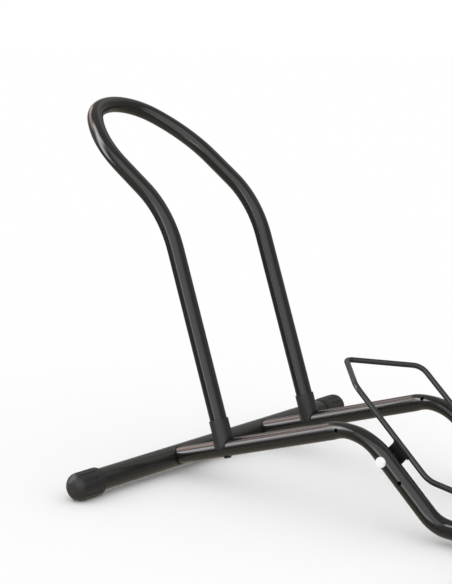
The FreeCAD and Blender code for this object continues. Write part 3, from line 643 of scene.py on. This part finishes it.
@dataclass
class Studio:
    """Plain pale floor in a dim room with soft panels and a white backdrop."""

    room: tuple[float, float, float] = (0.36, 0.355, 0.34)
    ground: tuple[float, float, float] = (0.46, 0.41, 0.33)
    ground_gap: tuple[float, float, float] = (0.14, 0.13, 0.12)
    gap_elevation: float = -14.0
    ground_elevation: float = -27.0
    backdrop: float = 1.0
    ambient: float = 1.06
    floor_color: tuple[float, float, float] = (0.94, 0.94, 0.94)
    floor_half_size: float = 30.0
    panels: list[Panel] = field(default_factory=lambda: [
        Panel(300.0, 33.0, 42.0, 36.0, 7.0, 0.72, (0.98, 1.0, 1.02), 13.0),
        Panel(280.0, 33.0, 22.0, 36.0, 7.0, 0.55, (0.98, 1.0, 1.02), 45.0),
        Panel(264.0, 8.0, 3.5, 14.0, 5.0, 2.4),
        Panel(211.0, 17.0, 2.0, 18.0, 8.0, 6.3, (1.02, 0.98, 1.01), 16.0),
        Panel(209.0, 46.0, 8.0, 6.0, 8.0, 6.0),
        Panel(175.0, 30.0, 15.0, 6.0, 6.0, 2.1, (1.22, 0.9, 0.85), 8.0),
        Panel(140.0, 16.0, 16.0, 10.0, 10.0, 0.12, (1.05, 0.98, 0.92)),
        Panel(85.0, 46.0, 22.0, 6.0, 8.0, 0.3, (1.03, 1.0, 0.96)),
    ])

    def build(self) -> None:
        """Builds the floor and the world."""
        self._floor()
        self._world()
        bpy.context.scene.view_settings.view_transform = "Standard"
        LOG.info("built the studio")

    def _floor(self) -> None:
        """Builds the pale floor."""
        mesh = bpy.data.meshes.new("studio_floor")
        grid = bmesh.new()
        bmesh.ops.create_grid(grid, x_segments=1, y_segments=1, size=self.floor_half_size)
        grid.to_mesh(mesh)
        grid.free()
        floor = bpy.data.objects.new("studio_floor", mesh)
        bpy.context.collection.objects.link(floor)
        material = bpy.data.materials.new("studio_floor_paint")
        material.use_nodes = True
        shader = material.node_tree.nodes["Principled BSDF"]
        shader.inputs["Base Color"].default_value = (*self.floor_color, 1.0)
        shader.inputs["Roughness"].default_value = 1.0
        shader.inputs["Specular IOR Level"].default_value = 0.0
        mesh.materials.append(material)
        floor.visible_glossy = False

    def _world(self) -> None:
        """Builds the room's light.

        Reflections show the dim room with its panels, rough surfaces get an even soft light, and
        the backdrop behind the rack is white.
        """
        world = bpy.data.worlds.new("studio")
        bpy.context.scene.world = world
        world.use_nodes = True
        world.cycles.sampling_method = "NONE"
        tree = world.node_tree
        tree.nodes.clear()
        coords = tree.nodes.new("ShaderNodeTexCoord")
        total = self._room(tree, coords)
        group = self._panel_group()
        for panel in self.panels:
            total = self._add(tree, total, self._panel_node(tree, group, coords, panel))
        reflected = tree.nodes.new("ShaderNodeBackground")
        tree.links.new(total, reflected.inputs["Color"])
        path = tree.nodes.new("ShaderNodeLightPath")
        lit = self._choose(tree, path.outputs["Is Diffuse Ray"], reflected, self._even(tree, self.ambient))
        seen = self._choose(tree, path.outputs["Is Camera Ray"], lit, self._even(tree, self.backdrop))
        output = tree.nodes.new("ShaderNodeOutputWorld")
        tree.links.new(seen.outputs["Shader"], output.inputs["Surface"])

    @staticmethod
    def _even(tree: bpy.types.NodeTree, level: float) -> bpy.types.Node:
        """Adds a background of one grey level.

        Args:
            tree: The world's node tree.
            level: The grey level.

        Returns:
            The background's node.
        """
        node = tree.nodes.new("ShaderNodeBackground")
        node.inputs["Color"].default_value = (level, level, level, 1.0)
        return node

    @staticmethod
    def _choose(tree: bpy.types.NodeTree, test: bpy.types.NodeSocket, otherwise: bpy.types.Node,
                chosen: bpy.types.Node) -> bpy.types.Node:
        """Adds a node that takes the chosen shader where the test is one.

        Args:
            tree: The world's node tree.
            test: Socket with one or zero.
            otherwise: Node of the shader for zero.
            chosen: Node of the shader for one.

        Returns:
            The new node.
        """
        node = tree.nodes.new("ShaderNodeMixShader")
        tree.links.new(test, node.inputs["Fac"])
        tree.links.new(otherwise.outputs[0], node.inputs[1])
        tree.links.new(chosen.outputs[0], node.inputs[2])
        return node

    def _room(self, tree: bpy.types.NodeTree, coords: bpy.types.Node) -> bpy.types.NodeSocket:
        """Builds the colour of the bare room: grey above, a dark gap and an olive ground below.

        Args:
            tree: The world's node tree.
            coords: The coordinate node.

        Returns:
            The colour's socket.
        """
        split = tree.nodes.new("ShaderNodeSeparateXYZ")
        tree.links.new(coords.outputs["Generated"], split.inputs["Vector"])
        steps = ((self.ground, self.ground_gap, self.ground_elevation, self.gap_elevation),
                 (None, self.room, self.gap_elevation, 0.0))
        color = None
        for low, high, start, end in steps:
            fade = tree.nodes.new("ShaderNodeMapRange")
            fade.interpolation_type = "SMOOTHSTEP"
            fade.inputs["From Min"].default_value = math.sin(math.radians(start))
            fade.inputs["From Max"].default_value = math.sin(math.radians(end))
            tree.links.new(split.outputs["Z"], fade.inputs["Value"])
            mix = tree.nodes.new("ShaderNodeMix")
            mix.data_type = "VECTOR"
            sockets = {item.identifier: item for item in mix.inputs}
            tree.links.new(fade.outputs["Result"], sockets["Factor_Float"])
            sockets["B_Vector"].default_value = high
            if color is None:
                sockets["A_Vector"].default_value = low
            else:
                tree.links.new(color, sockets["A_Vector"])
            color = next(item for item in mix.outputs if item.identifier == "Result_Vector")
        return color

    @staticmethod
    def _panel_group() -> bpy.types.NodeTree:
        """Builds the group that masks a soft rectangle seen in a direction.

        Returns:
            The group.
        """
        tree = new_group("soft_panel")
        for name in ("Direction", "Toward", "Across", "Upward"):
            add_socket(tree, name, "NodeSocketVector", True)
        for name in ("Half width", "Half height", "Softness", "Far softness"):
            add_socket(tree, name, "NodeSocketFloat", True, 0.1)
        add_socket(tree, "Mask", "NodeSocketFloat", False)
        inputs = tree.nodes.new("NodeGroupInput")
        outputs = tree.nodes.new("NodeGroupOutput")

        def math_node(operation: str, *sources: object) -> bpy.types.NodeSocket:
            """Adds a math node.

            Args:
                operation: The node's operation.
                sources: Its inputs, each a socket or a number.

            Returns:
                The result's socket.
            """
            node = tree.nodes.new("ShaderNodeMath")
            node.operation = operation
            for socket, source in zip(node.inputs, sources):
                if isinstance(source, float):
                    socket.default_value = source
                else:
                    tree.links.new(source, socket)
            return node.outputs["Value"]

        def along(name: str) -> bpy.types.NodeSocket:
            """Adds the direction's part along one of the panel's axes.

            Args:
                name: The group's input that holds the axis.

            Returns:
                The part's socket.
            """
            node = tree.nodes.new("ShaderNodeVectorMath")
            node.operation = "DOT_PRODUCT"
            tree.links.new(inputs.outputs["Direction"], node.inputs[0])
            tree.links.new(inputs.outputs[name], node.inputs[1])
            return node.outputs["Value"]

        ahead = along("Toward")
        mask = math_node("GREATER_THAN", ahead, 0.0)
        safe = math_node("MAXIMUM", ahead, 0.001)
        spans = (("Across", "Half width", "Far softness"), ("Upward", "Half height", "Softness"))
        for axis, half, beyond in spans:
            angle = math_node("ARCTAN2", along(axis), safe)
            fades = []
            for turned, soft in ((angle, beyond), (math_node("MULTIPLY", angle, -1.0), "Softness")):
                outside = math_node("SUBTRACT", turned, inputs.outputs[half])
                fades.append(math_node("DIVIDE", outside, inputs.outputs[soft]))
            fade = math_node("MAXIMUM", *fades)
            smooth = tree.nodes.new("ShaderNodeMapRange")
            smooth.interpolation_type = "SMOOTHSTEP"
            smooth.inputs["To Min"].default_value = 1.0
            smooth.inputs["To Max"].default_value = 0.0
            tree.links.new(fade, smooth.inputs["Value"])
            mask = math_node("MULTIPLY", mask, smooth.outputs["Result"])
        tree.links.new(mask, outputs.inputs["Mask"])
        return tree

    @staticmethod
    def _panel_node(tree: bpy.types.NodeTree, group: bpy.types.NodeTree, coords: bpy.types.Node,
                    panel: Panel) -> bpy.types.NodeSocket:
        """Adds one panel.

        Args:
            tree: The world's node tree.
            group: The shared panel group.
            coords: The coordinate node.
            panel: The panel.

        Returns:
            The socket with the panel's colour.
        """
        node = tree.nodes.new("ShaderNodeGroup")
        node.node_tree = group
        tree.links.new(coords.outputs["Generated"], node.inputs["Direction"])
        for name, axis in zip(("Toward", "Across", "Upward"), panel.axes()):
            node.inputs[name].default_value = axis
        node.inputs["Half width"].default_value = math.radians(panel.half_width)
        node.inputs["Half height"].default_value = math.radians(panel.half_height)
        node.inputs["Softness"].default_value = math.radians(panel.softness)
        node.inputs["Far softness"].default_value = math.radians(panel.far_softness or panel.softness)
        scale = tree.nodes.new("ShaderNodeVectorMath")
        scale.operation = "SCALE"
        scale.inputs[0].default_value = Vector(panel.tint) * panel.strength
        tree.links.new(node.outputs["Mask"], scale.inputs["Scale"])
        return scale.outputs["Vector"]

    @staticmethod
    def _add(tree: bpy.types.NodeTree, first: bpy.types.NodeSocket,
             second: bpy.types.NodeSocket) -> bpy.types.NodeSocket:
        """Adds two colours.

        Args:
            tree: The world's node tree.
            first: Socket of one colour.
            second: Socket of the other.

        Returns:
            The sum's socket.
        """
        node = tree.nodes.new("ShaderNodeVectorMath")
        node.operation = "ADD"
        tree.links.new(first, node.inputs[0])
        tree.links.new(second, node.inputs[1])
        return node.outputs["Vector"]


@dataclass
class PhotoCamera:
    """Camera fitted to the photograph, placed from the axis of the rear cross tube.

    The focal length and the optical centre are in the photograph's pixels.
    """

    from_axis: tuple[float, float, float] = (1.25953, -1.44738, 0.55952)
    heading: float = 40.89
    pitch: float = 8.91
    roll: float = 0.42
    focal_px: float = 1438.29
    centre_px: tuple[float, float] = (223.59, 256.55)
    image_px: tuple[int, int] = (452, 584)
    sensor_height: float = 24.0

    def build(self) -> None:
        """Creates the camera and makes it the scene's own."""
        low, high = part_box("rear_cross_tube")
        axis = (Vector(low) + Vector(high)) / 2
        data = bpy.data.cameras.new("photo_camera")
        data.sensor_fit = "VERTICAL"
        data.sensor_height = self.sensor_height
        data.lens = self.focal_px * self.sensor_height / self.image_px[1]
        data.shift_x = (self.image_px[0] / 2 - self.centre_px[0]) / self.image_px[1]
        data.shift_y = (self.centre_px[1] - self.image_px[1] / 2) / self.image_px[1]
        data.clip_start = 0.05
        data.clip_end = 100.0
        camera = bpy.data.objects.new("photo_camera", data)
        bpy.context.collection.objects.link(camera)
        turn = (Matrix.Rotation(math.radians(self.heading), 4, "Z")
                @ Matrix.Rotation(math.radians(90.0 - self.pitch), 4, "X")
                @ Matrix.Rotation(math.radians(self.roll), 4, "Z"))
        camera.matrix_world = Matrix.Translation(axis + Vector(self.from_axis)) @ turn
        bpy.context.scene.camera = camera
        LOG.info("placed the camera")


def main() -> None:
    """Builds the looks in order."""
    logging.basicConfig(level=logging.INFO, format="%(message)s")
    finishes = Finishes()
    for assembly in (Base(), Hoop(), Cradle(), EndCaps()):
        assembly.dress(finishes)
        LOG.info("finished %s", type(assembly).__name__)
    Studio().build()
    PhotoCamera().build()


if __name__ == "__main__":
    main()
